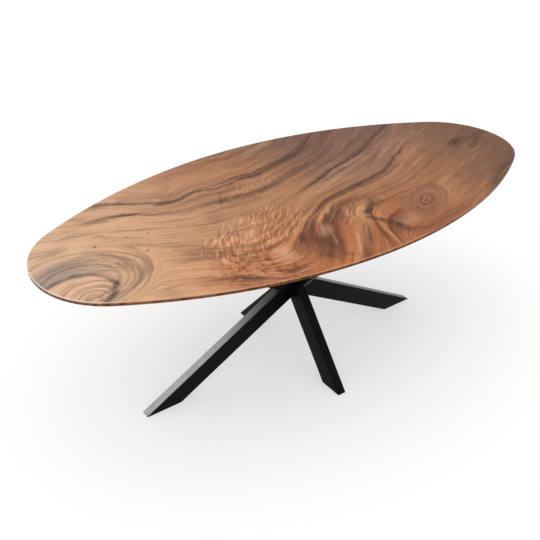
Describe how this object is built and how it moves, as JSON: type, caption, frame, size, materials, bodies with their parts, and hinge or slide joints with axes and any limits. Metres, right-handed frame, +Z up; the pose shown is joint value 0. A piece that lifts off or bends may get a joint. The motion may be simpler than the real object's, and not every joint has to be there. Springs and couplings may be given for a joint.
{
  "type": "oval dining table",
  "caption": "Oval solid-wood dining table with a bevelled edge on a black welded star base of sloping rectangular tubes with levelling feet.",
  "frame": {"origin": "on the floor under the middle of the tabletop", "axes": "+X along the tabletop's length, +Y across it towards the back, +Z up"},
  "size_m": [2.2, 1, 0.78],
  "materials": {
    "wood_top": "satin oiled figured hardwood",
    "powder_coat": "fine-textured black powder coat",
    "black_screws": "black oxide",
    "zinc_steel": "zinc plated",
    "brass": "bare",
    "nylon": "moulded"
  },
  "bodies": {
    "table": {"tabletop": "wood_top", "leg_long_through": "powder_coat", "leg_long_lower": "powder_coat", "leg_long_upper": "powder_coat", "leg_front_lower": "powder_coat", "leg_front_upper": "powder_coat", "leg_back_lower": "powder_coat", "leg_back_upper": "powder_coat", "plate_left": "powder_coat", "plate_right": "powder_coat", "plate_front": "powder_coat", "plate_back": "powder_coat", "plate_bolts": "black_screws", "plate_washers": "black_screws", "plate_inserts": "brass", "channel_left": "zinc_steel", "channel_right": "zinc_steel", "channel_screws": "zinc_steel", "channel_inserts": "brass", "foot_cap_left": "powder_coat", "foot_cap_right": "powder_coat", "foot_cap_front": "powder_coat", "foot_cap_back": "powder_coat", "foot_nut_left": "zinc_steel", "foot_nut_right": "zinc_steel", "foot_nut_front": "zinc_steel", "foot_nut_back": "zinc_steel"},
    "foot_left": {"foot_stud_left": "zinc_steel", "foot_pad_left": "nylon"},
    "foot_right": {"foot_stud_right": "zinc_steel", "foot_pad_right": "nylon"},
    "foot_front": {"foot_stud_front": "zinc_steel", "foot_pad_front": "nylon"},
    "foot_back": {"foot_stud_back": "zinc_steel", "foot_pad_back": "nylon"}
  },
  "joints": [
    {"name": "foot_left_level", "type": "slide", "parent": "table", "child": "foot_left", "axis": [0, 0, -1], "range_m": [0, 0.01]},
    {"name": "foot_right_level", "type": "slide", "parent": "table", "child": "foot_right", "axis": [0, 0, -1], "range_m": [0, 0.01]},
    {"name": "foot_front_level", "type": "slide", "parent": "table", "child": "foot_front", "axis": [0, 0, -1], "range_m": [0, 0.01]},
    {"name": "foot_back_level", "type": "slide", "parent": "table", "child": "foot_back", "axis": [0, 0, -1], "range_m": [0, 0.01]}
  ]
}
